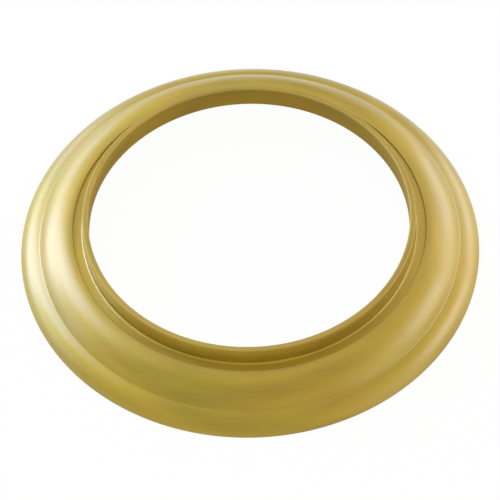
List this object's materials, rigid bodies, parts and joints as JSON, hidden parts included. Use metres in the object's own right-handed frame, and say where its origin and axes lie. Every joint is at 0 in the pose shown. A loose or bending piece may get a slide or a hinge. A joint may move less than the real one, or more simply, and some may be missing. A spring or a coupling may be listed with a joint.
{
  "type": "tub spout flange",
  "caption": "Round satin brass trim ring with a stepped, double-lobed face, a sunk seat and a raised lip that a tub spout's end stands on, hollow at the back.",
  "frame": {"origin": "centre of the rim's flat land, on the wall plane", "axes": "+Z along the ring's axis, away from the wall and towards the spout; X and Y are alike"},
  "size_m": [0.076, 0.076, 0.0089],
  "materials": {
    "brass": "satin, lacquered"
  },
  "bodies": {
    "root": {"spout_flange": "brass"}
  },
  "joints": []
}
